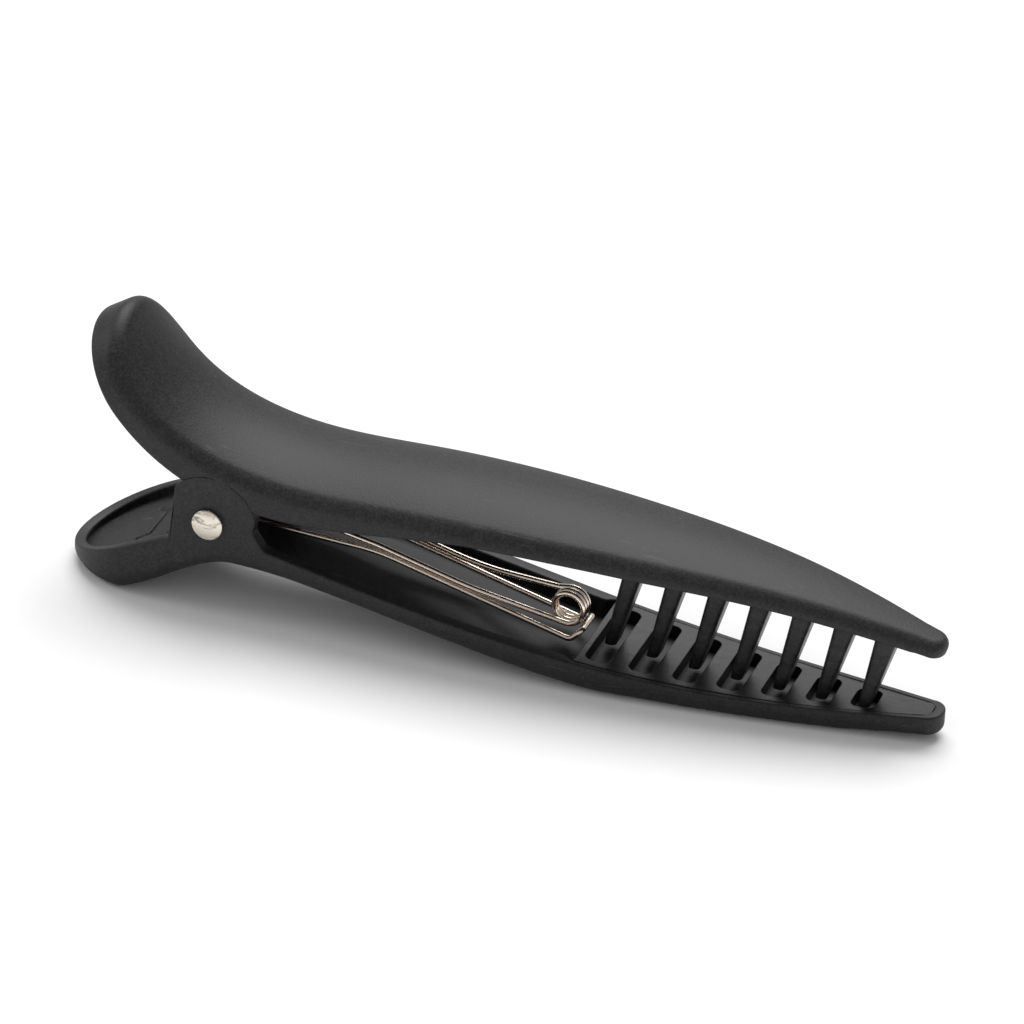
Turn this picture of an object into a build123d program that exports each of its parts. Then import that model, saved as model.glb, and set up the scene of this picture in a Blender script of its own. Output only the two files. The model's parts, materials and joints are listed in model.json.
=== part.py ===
from build123d import *

import math
import os

# Sectioning clip: two moulded jaws on one rivet, closed by a torsion spring.
# Working frame while modelling: origin on the rivet's axis, +X towards the tips, +Y across, +Z up.
# The finished pieces are moved so that the origin is at the bottom centre of the whole clip.
# All sizes are in millimetres.

# Overall sizes
jaw_reach = 93.4  # rivet axis to the tips
paddle_reach = 20.8  # rivet axis to the rear end of the lower paddle
ground_drop = 12.8  # rivet axis down to the surface that the clip rests on

# Plan shape
cheek_half_width = 9.6
belly_half_width = 10.0
belly_x = 24.0
tab_half_width = 9.6
tip_half_width = 2.0

# Upper cover
cover_wall = 1.5
tip_solid = 4.0
crown_radius = 24.0
edge_roll = 1.4
tab_end_x = -14.6
tab_end_z = 23.6
tab_end_round = 9.6
tab_bend_x = -6.6
tab_bend_rise = 4.7
cover_height_pivot = 9.2
cover_height_throat = 8.9
cover_height_tip = 0.9
saddle_x = 5.0
shoulder_x = 54.0
shoulder_drop = 0.9
nose_x = 76.0
nose_rise = 4.3
skirt_tab = 5.2
skirt_pivot = 6.4
skirt_pivot_x = 2.0
skirt_throat = 3.8
skirt_tip = 2.1
throat_x = 45.0
least_roll = 0.3

# Lower jaw
lower_wall = 1.8
floor_wall = 1.4
arch_x = 3.0
arch_height = 6.9
heel_x = -14.5
belly_start_x = 58.0
belly_end_x = 75.0
paddle_lift = 0.4
tip_lift = 0.9
land_cut = 0.3
rim_wall = 0.9
bottom_round = 2.4
paddle_end_round = 9.6
paddle_rim = 1.5
paddle_recess = 1.3
groove_width = 0.45
groove_depth = 0.3
groove_side = 6.4
groove_return = 1.7
groove_splay = 30.0
groove_setback = 5.2

# Pivot
pin_radius = 1.25
running_gap = 0.05
seat_gap = 0.02
head_radius = 2.05
head_height = 0.9
head_dome = 0.35
cap_height = 0.9
cap_grip = 0.5
ear_radius = 6.4
ear_gap = 0.2
ear_notch_angle = 135.0
ear_front_angle = 13.0
window_rear = (5.8, 0, 0.0)
window_floor = (7.5, 0, -2.3)
lug_radius = 3.5
lug_wall = 1.6
lug_side_gap = 0.2

# Comb teeth and slots
tooth_count = 7
first_tooth_x = 50.4
tooth_pitch = 5.5
tooth_rake = 13.0
tooth_root_long = 2.9
tooth_root_wide = 4.4
tooth_tip_long = 1.5
tooth_tip_wide = 3.0
tooth_dip = 0.5
comb_base = 1.2
comb_margin = 2.2
comb_gap = 0.05
deck_start_x = 48.0
deck_thick = 1.7
nose_wall = 1.4
slot_gap = 0.85
slot_end_wall = 1.1

# Torsion spring
torsion_wire = 0.8
torsion_gap = 0.55
torsion_turns = 4
torsion_pitch = 0.82
torsion_leg_lean = 40.0
torsion_leg_upper = 8.0
torsion_leg_lower = 6.2

# Throat spring
arm_wire = 0.75
arm_stack = 0.85
arm_slope = 14.0
arm_bend_x = 20.0
hairpin_gap = 0.475
hairpin_corner = 1.6
arm_half_spread = 2.7
arm_flare_x = 32.0
front_coil_x = 44.6
front_coil_z = -5.9
front_coil_radius = 2.0
front_coil_turns = 2
front_coil_pitch = 0.8
far_arm_dip = 14.0
coil_lead = 1.5
hook_x = 45.6
hook_reach = 1.3
hook_rise = 1.2
hook_narrowing = 0.8

# Sizes that follow from the others
hairpin_reach = pin_radius + arm_wire / 2 + hairpin_gap
torsion_coil_radius = pin_radius + torsion_wire / 2 + torsion_gap
beyond = 2 * (jaw_reach + paddle_reach)  # longer than the clip, for cutting bodies
beside = 3 * belly_half_width  # further than either side of the clip


def smooth(value, knots):
    """Value of a curve that eases from each knot (place, height) to the next."""
    if value <= knots[0][0]:
        return knots[0][1]
    for (x0, h0), (x1, h1) in zip(knots, knots[1:]):
        if value <= x1:
            s = (value - x0) / (x1 - x0)
            return h0 + (h1 - h0) * s * s * (3 - 2 * s)
    return knots[-1][1]


def half_width(x):
    """Half width of both jaws: eased behind the belly, a parabola from the belly to the tip."""
    if x <= belly_x:
        return smooth(x, [(tab_end_x, tab_half_width), (0, cheek_half_width), (belly_x, belly_half_width)])
    s = (x - belly_x) / (jaw_reach - belly_x)
    return belly_half_width - (belly_half_width - tip_half_width) * s * s


def skirt_depth(x):
    """Depth of the cover, from its top centre line to the skirt's lower edge."""
    rear = [(tab_end_x, skirt_tab), (skirt_pivot_x, skirt_pivot)]
    front = [(throat_x, skirt_throat), (jaw_reach, skirt_tip)]
    return smooth(x, rear + front)


# Top centre line of the cover, from the end of the thumb tab to the tip
top_line = Spline(
    (tab_end_x, 0, tab_end_z),
    (tab_bend_x, 0, cover_height_pivot + tab_bend_rise),
    (saddle_x, 0, cover_height_pivot),
    (belly_x, 0, cover_height_throat),
    (shoulder_x, 0, cover_height_throat - shoulder_drop),
    (nose_x, 0, cover_height_tip + nose_rise),
    (jaw_reach, 0, cover_height_tip),
)


def on_line(line, x):
    """Parameter of the point of a curve at the given x, by halving the interval."""
    low, high = 0.0, 1.0
    for _ in range(40):
        middle = (low + high) / 2
        if (line @ middle).X < x:
            low = middle
        else:
            high = middle
    return (low + high) / 2


def cover_section(x, inset, extra_depth):
    """Arched section of the cover square to its top line, moved inwards by inset."""
    t = on_line(top_line, x)
    plane = Plane(origin=top_line @ t, x_dir=(0, 1, 0), z_dir=top_line % t)
    w = half_width(x) - inset
    arch_radius = crown_radius - inset
    drop = arch_radius - math.sqrt(arch_radius**2 - w**2)
    bottom = -skirt_depth(x) - extra_depth
    roll = min(max(edge_roll - inset, least_roll), 0.45 * w)
    crown = ThreePointArc((-w, -inset - drop), (0, -inset), (w, -inset - drop))
    sides = Polyline((w, -inset - drop), (w, bottom), (-w, bottom), (-w, -inset - drop))
    face = make_face([crown, *sides.edges()])
    corners = face.vertices().sort_by(Axis.Y)[-2:]
    return plane * fillet(corners, roll)


def cover_form(inset, extra_depth):
    """Lofted solid of the whole cover, moved inwards by inset."""
    places = (0, 0.035, 0.09, 0.17, 0.26, 0.36, 0.54, 0.66, 0.77, 0.87, 0.95, 1)
    stations = [tab_end_x + place * (jaw_reach - tab_end_x) for place in places]
    return loft([cover_section(x, inset, extra_depth) for x in stations])


def tab_outline(inset):
    """Prism square to the thumb tab, with a rounded end, that trims the tab in plan."""
    t = on_line(top_line, tab_end_x)
    along = top_line % t
    plane = Plane(origin=top_line @ t, x_dir=along, z_dir=(-along.Z, 0, along.X))
    radius = tab_end_round - inset
    outline = Pos(inset + radius, 0) * Circle(radius)
    outline += Pos(inset + radius + beyond / 2, 0) * Rectangle(beyond, beyond)
    return plane * extrude(outline, amount=beyond, both=True)


def side_prism(outline, half):
    """Prism of a closed outline drawn in the XZ plane, reaching half to each side of the middle."""
    return extrude(make_face(outline), amount=half, dir=(0, 1, 0), both=True)


def across(x, z, radius, start, end):
    """Cylinder along Y, centred on (x, z), from y = start to y = end."""
    middle = (start + end) / 2
    return Pos(x, middle, z) * Rot(90, 0, 0) * Cylinder(radius, end - start)


def slab(start, end):
    """Block between two x stations, larger than the clip in the other directions."""
    return Pos((start + end) / 2, 0, 0) * Box(end - start, beyond, beyond)


def make_cover():
    """Upper jaw: crowned shell with the thumb tab, its skirt and two lugs that turn on the rivet."""
    outer = cover_form(0, 0) & tab_outline(0)
    outer &= round_end(jaw_reach, tip_half_width, 1)
    hollow = cover_form(cover_wall, beside) & tab_outline(cover_wall)
    hollow &= slab(tab_end_x - beside, jaw_reach - tip_solid)
    shell = outer - hollow
    shell -= across(0, 0, ear_radius + ear_gap, -beside, beside)
    narrowest = min(half_width(x) for x in (-lug_radius, 0, lug_radius))
    lug_outer = narrowest - lower_wall - lug_side_gap
    seat = cover_form(cover_wall / 2, beside)
    for side in (-1, 1):
        start, end = sorted((side * lug_outer, side * (lug_outer - lug_wall)))
        plate = across(0, 0, lug_radius, start, end)
        plate += Pos(0, (start + end) / 2, lug_radius * 2) * Box(2 * lug_radius, lug_wall, 4 * lug_radius)
        plate -= across(0, 0, pin_radius + running_gap, start - 1, end + 1)
        shell += plate & seat
    return shell


# Rim of the lower jaw, from the cheek to the tip
rim_line = Spline(window_floor, (26.5, 0, -5.5), (50, 0, -8.8), (70, 0, -9.8), (jaw_reach, 0, -9.0))
rim_tip = rim_line @ 1
paddle_edge = (-5.4, 0, -3.3)
paddle_tip = (-paddle_reach, 0, -10.4)


def bottom_height(x):
    """Height of the lower jaw's underside below the rivet axis."""
    rear = [(-paddle_reach, paddle_lift), (heel_x, -land_cut), (arch_x, arch_height)]
    front = [(belly_start_x, -land_cut), (belly_end_x, -land_cut), (jaw_reach, tip_lift)]
    return smooth(x, rear + front) - ground_drop


def trough_section(x, inset, lift, top):
    """Upright section of the lower jaw at x: straight sides and rounded bottom corners."""
    w = half_width(x) - inset
    bottom = bottom_height(x) + lift
    plane = Plane(origin=(x, 0, (top + bottom) / 2), x_dir=(0, 1, 0), z_dir=(1, 0, 0))
    face = plane * Rectangle(2 * w, top - bottom)
    corners = face.vertices().sort_by(Axis.Z)[:2]
    return fillet(corners, min(max(bottom_round - inset, 0.4), 0.8 * w))


def trough_form(inset, lift, top=12.0):
    """Lofted solid of the whole lower jaw, moved inwards by inset and raised by lift, up to top."""
    places = (0, 0.055, 0.11, 0.15, 0.21, 0.29, 0.38, 0.48, 0.58, 0.68, 0.77, 0.84, 0.92, 1)
    stations = [place * (jaw_reach + paddle_reach) - paddle_reach for place in places]
    return loft([trough_section(x, inset, lift, top) for x in stations])


def round_end(x, radius, sign):
    """Upright prism that rounds an end in plan: sign -1 for the rear end, 1 for the front end."""
    outline = Pos(x - sign * radius, 0) * Circle(radius)
    outline += Pos(x - sign * (radius + beyond / 2), 0) * Rectangle(beyond, beyond)
    return extrude(outline, amount=beyond, both=True)


def lower_outline():
    """Closed side outline of the lower jaw above its underside."""
    notch = (ear_radius * math.cos(math.radians(ear_notch_angle)), 0,
             ear_radius * math.sin(math.radians(ear_notch_angle)))
    front = (ear_radius * math.cos(math.radians(ear_front_angle)), 0,
             ear_radius * math.sin(math.radians(ear_front_angle)))
    ear = ThreePointArc(notch, (0, 0, ear_radius), front)
    rear = Polyline(paddle_tip, paddle_edge, notch)
    window = Polyline(front, window_rear, rim_line @ 0)
    deep = -2 * ground_drop
    under = Polyline(rim_tip, (jaw_reach, 0, deep), (-paddle_reach, 0, deep), paddle_tip)
    return [*rear.edges(), ear, *window.edges(), rim_line, *under.edges()]


def below_line(line, drop, start_x, end_x, depth):
    """Prism of the band that lies from drop to drop + depth under a curve, between two x stations."""
    top = line.trim(on_line(line, start_x), on_line(line, end_x)).moved(Location((0, 0, -drop)))
    under = top.moved(Location((0, 0, -depth)))
    return side_prism([top, Line(top @ 1, under @ 1), under, Line(under @ 0, top @ 0)], beside)


def make_lower():
    """Lower jaw: channel with cheeks, thumb paddle, deck pocket and two flat lands underneath."""
    body = trough_form(0, 0) & side_prism(lower_outline(), beside)
    body &= round_end(-paddle_reach, paddle_end_round, -1)
    body &= round_end(jaw_reach, tip_half_width, 1)
    body -= trough_form(lower_wall, floor_wall) & slab(paddle_edge[0] - 2, deck_start_x)
    pocket = below_line(rim_line, -1, deck_start_x - 1, jaw_reach - nose_wall, deck_thick + 1 + comb_gap)
    body -= pocket & trough_form(rim_wall, -5)
    slope = math.atan2(paddle_edge[2] - paddle_tip[2], paddle_edge[0] - paddle_tip[0])
    along, up = (math.cos(slope), 0, math.sin(slope)), (-math.sin(slope), 0, math.cos(slope))
    paddle_plane = Plane(origin=paddle_edge, x_dir=along, z_dir=up)
    run = (paddle_reach + paddle_edge[0]) / math.cos(slope)
    radius = paddle_end_round - paddle_rim
    recess = Pos(-run + paddle_rim + radius, 0) * Circle(radius)
    straight = run - paddle_rim - radius + 1
    recess += Pos(1 - straight / 2, 0) * Rectangle(straight, 2 * radius)
    floor = paddle_plane * Pos(0, 0, -paddle_recess)
    body -= floor * extrude(recess, amount=ground_drop)
    grooves = Pos(-groove_setback, 0) * Rectangle(groove_width, groove_side)
    for side in (-1, 1):
        corner = Pos(-groove_setback, side * groove_side / 2) * Rot(0, 0, -side * groove_splay)
        grooves += corner * Pos(-groove_return / 2, 0) * Rectangle(groove_return, groove_width)
    body -= floor * extrude(grooves, amount=groove_depth, both=True)
    body -= Pos(0, 0, -ground_drop - beside / 2) * Box(beyond, beyond, beside)
    body -= across(0, 0, pin_radius + seat_gap, -beside, beside)
    return body


def tooth_tip_places():
    """Places (x, z) of the tooth tips, a little under the deck's surface."""
    places = []
    for i in range(tooth_count):
        x = first_tooth_x + i * tooth_pitch
        places.append((x, (rim_line @ on_line(rim_line, x)).Z - tooth_dip))
    return places


def make_upper_comb():
    """Comb insert under the cover: a strip that follows the roof, and a row of raked tapered teeth."""
    start = first_tooth_x - comb_margin
    end = tooth_tip_places()[-1][0] + 2 * comb_margin
    roof = cover_form(cover_wall + comb_gap, beside)
    strip = below_line(top_line, cover_wall - 3, start, end, comb_base + 3) & roof
    lean = math.tan(math.radians(tooth_rake))
    for x, z in tooth_tip_places():
        root_x = x
        for _ in range(4):
            root_z = (top_line @ on_line(top_line, root_x)).Z - cover_wall - comb_base * 0.7
            root_x = x + lean * (root_z - z)
        tip = Pos(x, 0, z) * RectangleRounded(tooth_tip_long, tooth_tip_wide, tooth_tip_long * 0.4)
        root = Pos(root_x, 0, root_z) * RectangleRounded(tooth_root_long, tooth_root_wide, 0.8)
        strip += loft([tip, root])
    return strip


def make_lower_comb():
    """Slotted deck insert of the lower jaw, flush with its rim."""
    end = jaw_reach - nose_wall - comb_gap
    deck = below_line(rim_line, 0, deck_start_x, end, deck_thick)
    deck &= trough_form(rim_wall + comb_gap, -5)
    for x, _ in tooth_tip_places():
        long_side = tooth_tip_long + 2 * slot_gap
        wide = 2 * (half_width(x) - rim_wall - slot_end_wall)
        slot = RectangleRounded(long_side, max(wide, tooth_tip_wide + 2 * slot_gap), long_side * 0.35)
        deck -= Pos(x, 0, -ground_drop) * extrude(slot, amount=ground_drop)
    return deck


def make_rivet():
    """Rivet: domed near head, shank through both cheeks and both lugs, and a plain far end."""
    head_y = -cheek_half_width - seat_gap
    shank = across(0, 0, pin_radius, head_y, cheek_half_width + cap_grip)
    head = across(0, 0, head_radius, head_y - head_height, head_y)
    rim = head.edges().filter_by(GeomType.CIRCLE).sort_by(Axis.Y)[0]
    return shank + fillet(rim, head_dome)


def make_cap():
    """Cap pressed on the rivet's far end."""
    near = cheek_half_width + seat_gap
    cap = across(0, 0, head_radius, near, near + cap_height)
    rim = cap.edges().filter_by(GeomType.CIRCLE).sort_by(Axis.Y)[-1]
    cap = fillet(rim, head_dome)
    return cap - across(0, 0, pin_radius + seat_gap, near - 1, cheek_half_width + cap_grip + seat_gap)


def round_wire(path, diameter):
    """Round wire along a path."""
    start = Plane(origin=path @ 0, z_dir=path % 0)
    return sweep(start * Circle(diameter / 2), path=path, transition=Transition.ROUND)


def coil(radius, pitch, turns, first_angle, lefthand=False):
    """Centre line of a coil along Y, centred on the origin, that starts at an angle from straight up."""
    height = pitch * turns
    helix = Helix(pitch, height, radius, direction=(0, 1, 0), lefthand=lefthand)
    return Rot(0, first_angle, 0) * Pos(0, -height / 2, 0) * helix


def coil_wire(helix, diameter):
    """Round wire along a coil's centre line."""
    return sweep(Plane(origin=helix @ 0, z_dir=helix % 0) * Circle(diameter / 2), path=helix, is_frenet=True)


def make_torsion():
    """Torsion spring round the rivet, with a short leg to each jaw behind it."""
    turns = torsion_turns + (180 - 2 * torsion_leg_lean) / 360
    helix = coil(torsion_coil_radius, torsion_pitch, turns, torsion_leg_lean)
    wire = coil_wire(helix, torsion_wire)
    wire += round_wire(Line(helix @ 0, (helix @ 0) - (helix % 0) * torsion_leg_upper), torsion_wire)
    wire += round_wire(Line(helix @ 1, (helix @ 1) + (helix % 1) * torsion_leg_lower), torsion_wire)
    return wire


def make_throat_spring():
    """Throat wireform: a coil in front, and on each side a doubled arm that hairpins round the rivet."""
    turns = front_coil_turns + (180 + far_arm_dip + arm_slope) / 360
    helix = coil(front_coil_radius, front_coil_pitch, turns, 180 + arm_slope, lefthand=True)
    helix = Pos(front_coil_x, 0, front_coil_z) * helix
    near_end, near_way, far_end, far_way = helix @ 0, helix % 0, helix @ 1, helix % 1
    fall = math.tan(math.radians(arm_slope))
    bend_z = near_end.Z + (near_end.X - arm_bend_x) * fall
    flare_z = bend_z - (arm_flare_x - arm_bend_x) * fall
    hook_z = bend_z - arm_stack - (hook_x - arm_bend_x) * fall
    spread = arm_half_spread

    def hairpin(y):
        """Corners of one arm, from the upper wire's bend round the rivet to the lower wire's bend."""
        return [(arm_bend_x, y, bend_z), (-hairpin_reach, y, hairpin_reach),
                (-hairpin_reach, y, -hairpin_reach), (arm_bend_x, y, bend_z - arm_stack)]

    hook = [(hook_x, -spread, hook_z), (hook_x + hook_reach, -spread * hook_narrowing, hook_z + hook_rise),
            (hook_x + hook_reach, spread * hook_narrowing, hook_z + hook_rise), (hook_x, spread, hook_z)]
    far = [(arm_flare_x, spread, flare_z), far_end + far_way * coil_lead, far_end]
    near = [near_end, near_end - near_way * coil_lead, (arm_flare_x, -spread, flare_z)]
    route = [*near, *hairpin(-spread), *hook, *reversed(hairpin(spread)), *far]
    gentle, tight = 25.0, 0.9
    side = [gentle, hairpin_corner, hairpin_corner, gentle]
    radii = [2.0, gentle, *side, tight, tight, tight, tight, *side, gentle, 2.0]
    path = FilletPolyline(*route, radius=radii)
    return coil_wire(helix, arm_wire) + round_wire(path, arm_wire)


pieces = {
    "upper_jaw": make_cover,
    "lower_jaw": make_lower,
    "upper_comb": make_upper_comb,
    "lower_comb": make_lower_comb,
    "pivot_rivet": make_rivet,
    "rivet_cap": make_cap,
    "torsion_spring": make_torsion,
    "throat_spring": make_throat_spring,
}

home = Location(((paddle_reach - jaw_reach) / 2, 0, ground_drop))
os.makedirs("parts", exist_ok=True)
for node, maker in pieces.items():
    shape = maker()
    solids = shape.solids()
    print(node, len(solids), "solids", round(shape.volume, 1), "mm3", shape.is_valid)
    export_step(shape.moved(home), f"parts/{node}.step")
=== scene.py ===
"""Sectioning clip: the moulded jaws, comb inserts, rivet and springs, dressed for a pale studio table.

Shapes are worked out in millimetres about the rivet's axis, with +X towards the tips and +Z up,
and moved to the row frame in metres when a mesh is made.
"""

import json
import logging
import math
from dataclasses import dataclass
from enum import Enum

import bmesh
import bpy
import numpy as np
from mathutils import Euler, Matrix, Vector


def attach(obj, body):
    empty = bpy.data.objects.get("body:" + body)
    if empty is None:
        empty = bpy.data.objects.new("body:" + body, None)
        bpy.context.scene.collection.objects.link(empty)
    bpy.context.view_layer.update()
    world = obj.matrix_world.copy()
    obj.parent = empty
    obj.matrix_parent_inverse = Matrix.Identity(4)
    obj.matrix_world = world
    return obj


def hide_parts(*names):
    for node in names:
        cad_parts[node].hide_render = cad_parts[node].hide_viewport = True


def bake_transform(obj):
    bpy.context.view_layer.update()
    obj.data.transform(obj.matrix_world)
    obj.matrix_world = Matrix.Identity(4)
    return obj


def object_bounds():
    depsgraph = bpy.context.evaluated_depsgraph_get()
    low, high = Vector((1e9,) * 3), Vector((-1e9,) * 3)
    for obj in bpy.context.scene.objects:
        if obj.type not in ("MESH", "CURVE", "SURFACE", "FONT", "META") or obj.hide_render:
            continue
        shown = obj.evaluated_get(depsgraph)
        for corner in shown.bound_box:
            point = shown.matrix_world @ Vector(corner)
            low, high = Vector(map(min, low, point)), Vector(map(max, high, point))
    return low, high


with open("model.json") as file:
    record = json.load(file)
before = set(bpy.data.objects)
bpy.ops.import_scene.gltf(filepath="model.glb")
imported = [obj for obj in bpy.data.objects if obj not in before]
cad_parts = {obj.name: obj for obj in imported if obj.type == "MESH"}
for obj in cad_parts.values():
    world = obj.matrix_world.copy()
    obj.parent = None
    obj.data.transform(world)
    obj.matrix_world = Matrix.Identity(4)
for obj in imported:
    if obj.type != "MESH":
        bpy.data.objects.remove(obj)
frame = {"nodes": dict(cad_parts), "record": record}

CAD_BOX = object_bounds()
LOG = logging.getLogger("sectioning_clip")
MM = 0.001
MERGE_REACH = 2e-7
SLIVER_REACH = 1e-8
MOULDED_CREASE = 38.0
WIRE_CREASE = 70.0
TURNED_CREASE = 45.0
WIRE_SIDES = 14
TURNED_SIDES = 96
WIRE_END = ((0.0, 0.45), (0.55, 0.38), (0.88, 0.2))
Array = np.ndarray
Surface = tuple[Array, Array]
Spot = tuple[float, float, float]
Colour = tuple[float, float, float, float]
Socket = bpy.types.NodeSocket


# ---------------------------------------------------------------- shape helpers


def ease(value: Array, low: float, high: float) -> Array:
    """Smooth step from 0 at low to 1 at high.

    Args:
        value: places to evaluate.
        low: place where the step starts.
        high: place where the step ends.
    Returns:
        3t^2 - 2t^3 of the clamped fraction t between low and high.
    """
    t = np.clip((value - low) / (high - low), 0.0, 1.0)
    return t * t * (3.0 - 2.0 * t)


def eased_knots(value: Array, knots: list[tuple[float, float]]) -> Array:
    """Curve that eases from each knot (place, height) to the next, and is level outside them."""
    value = np.asarray(value, float)
    out = np.full(value.shape, knots[0][1])
    for (x0, h0), (x1, h1) in zip(knots, knots[1:]):
        out = out + (h1 - h0) * ease(value, x0, x1)
    return out


def flat_run(line: Array) -> Array:
    """Length of a flat line up to each of its points."""
    return np.concatenate([[0.0], np.cumsum(np.hypot(*np.diff(line, axis=0).T))])


def flat_way(line: Array) -> Array:
    """Direction of a flat line at each of its points, as unit vectors."""
    way = np.gradient(line, axis=0)
    return way / np.hypot(way[:, 0], way[:, 1])[:, None]


def natural_cubic(points: Array, samples: int) -> Array:
    """Natural cubic curve through points, with chord length as its parameter.

    Args:
        points: rows of (x, z) that the curve passes through.
        samples: number of points to return.
    Returns:
        samples rows of (x, z), whose second derivatives solve three-term equations and vanish at the ends.
    """
    knots = flat_run(points)
    n, h = len(knots), np.diff(knots)
    system, right = np.eye(n), np.zeros((n, points.shape[1]))
    inside = np.arange(1, n - 1)
    system[inside, inside - 1] = h[:-1]
    system[inside, inside] = 2 * (h[:-1] + h[1:])
    system[inside, inside + 1] = h[1:]
    slope = np.diff(points, axis=0) / h[:, None]
    right[inside] = 6 * (slope[1:] - slope[:-1])
    second = np.linalg.solve(system, right)
    t = np.linspace(0, knots[-1], samples)
    i = np.clip(np.searchsorted(knots, t, side="right") - 1, 0, n - 2)
    a, b, step = (knots[i + 1] - t)[:, None], (t - knots[i])[:, None], h[i][:, None]
    bend = (a**3 * second[i] + b**3 * second[i + 1]) / (6 * step)
    left, right = points[i] / step - second[i] * step / 6, points[i + 1] / step - second[i + 1] * step / 6
    return bend + (left * a + right * b)


def resample(path: Array, places: Array) -> Array:
    """Points of a polyline at the given shares of its length, from 0 to 1."""
    run = np.concatenate([[0.0], np.cumsum(np.linalg.norm(np.diff(path, axis=0), axis=1))])
    return np.stack([np.interp(places * run[-1], run, path[:, k]) for k in range(path.shape[1])], axis=1)


def grid_faces(rows: int, columns: int, wrap: bool) -> Array:
    """Quads of a grid of points stored row by row; wrap joins the last column to the first."""
    across = columns if wrap else columns - 1
    r, c = np.meshgrid(np.arange(rows - 1), np.arange(across), indexing="ij")
    nxt = (c + 1) % columns
    corners = [r * columns + c, r * columns + nxt, (r + 1) * columns + nxt, (r + 1) * columns + c]
    return np.stack(corners, axis=-1).reshape(-1, 4)


@dataclass(frozen=True)
class Home:
    """Where the rivet's axis lies in the row frame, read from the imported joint."""

    pivot: Spot

    def place(self, points: Array) -> Array:
        """Points in millimetres about the rivet, moved to the row frame in metres."""
        return points * MM + np.array(self.pivot)


def make_piece(name: str, home: Home, parts: list[Surface], smooth_angle: float) -> bpy.types.Object:
    """Mesh object of one or more closed surfaces.

    Args:
        name: the piece's name.
        home: the move from working millimetres to the row frame.
        parts: pairs of points (n, 3) in millimetres and quads (m, 4).
        smooth_angle: edges that turn more than this many degrees stay crisp.
    Returns:
        The object, at the origin, with doubled points merged and its faces outwards.
    """
    points, faces, offset = [], [], 0
    for part_points, part_faces in parts:
        points.append(part_points)
        faces.append(part_faces + offset)
        offset += len(part_points)
    mesh = bpy.data.meshes.new(name)
    mesh.from_pydata(home.place(np.concatenate(points)).tolist(), [], np.concatenate(faces).tolist())
    shape = bmesh.new()
    shape.from_mesh(mesh)
    bmesh.ops.remove_doubles(shape, verts=shape.verts, dist=MERGE_REACH)
    bmesh.ops.dissolve_degenerate(shape, edges=shape.edges, dist=SLIVER_REACH)
    bmesh.ops.recalc_face_normals(shape, faces=shape.faces)
    shape.to_mesh(mesh)
    shape.free()
    mesh.shade_smooth()
    mesh.set_sharp_from_angle(angle=math.radians(smooth_angle))
    piece = bpy.data.objects.new(name, mesh)
    bpy.context.scene.collection.objects.link(piece)
    LOG.info("%s: %d faces", name, len(mesh.polygons))
    return piece


def ring_surface(rows: list[Array]) -> Surface:
    """Closed surface through rings of points of equal length, each ring joined to the next."""
    return np.concatenate(rows), grid_faces(len(rows), len(rows[0]), True)


def rounded_path(corners: list[Spot], radii: list[float], per_corner: int = 14) -> Array:
    """Path of straight runs joined at each corner by a parabola that starts and ends on the runs."""
    nodes = np.array(corners, float)
    out = [nodes[:1]]
    for before, corner, after, radius in zip(nodes, nodes[1:], nodes[2:], radii):
        back, ahead = before - corner, after - corner
        back_run, ahead_run = np.linalg.norm(back), np.linalg.norm(ahead)
        cosine = np.clip(-(back @ ahead) / back_run / ahead_run, -1, 1)
        reach = min(radius * math.tan(math.acos(cosine) / 2), 0.49 * back_run, 0.49 * ahead_run)
        start, end = corner + back / back_run * reach, corner + ahead / ahead_run * reach
        t = np.linspace(0, 1, per_corner)[:, None]
        out.append((1 - t) ** 2 * start + 2 * t * (1 - t) * corner + t**2 * end)
    out.append(nodes[-1:])
    return np.concatenate(out)


# ---------------------------------------------------------------- the clip's shared lines


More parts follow.
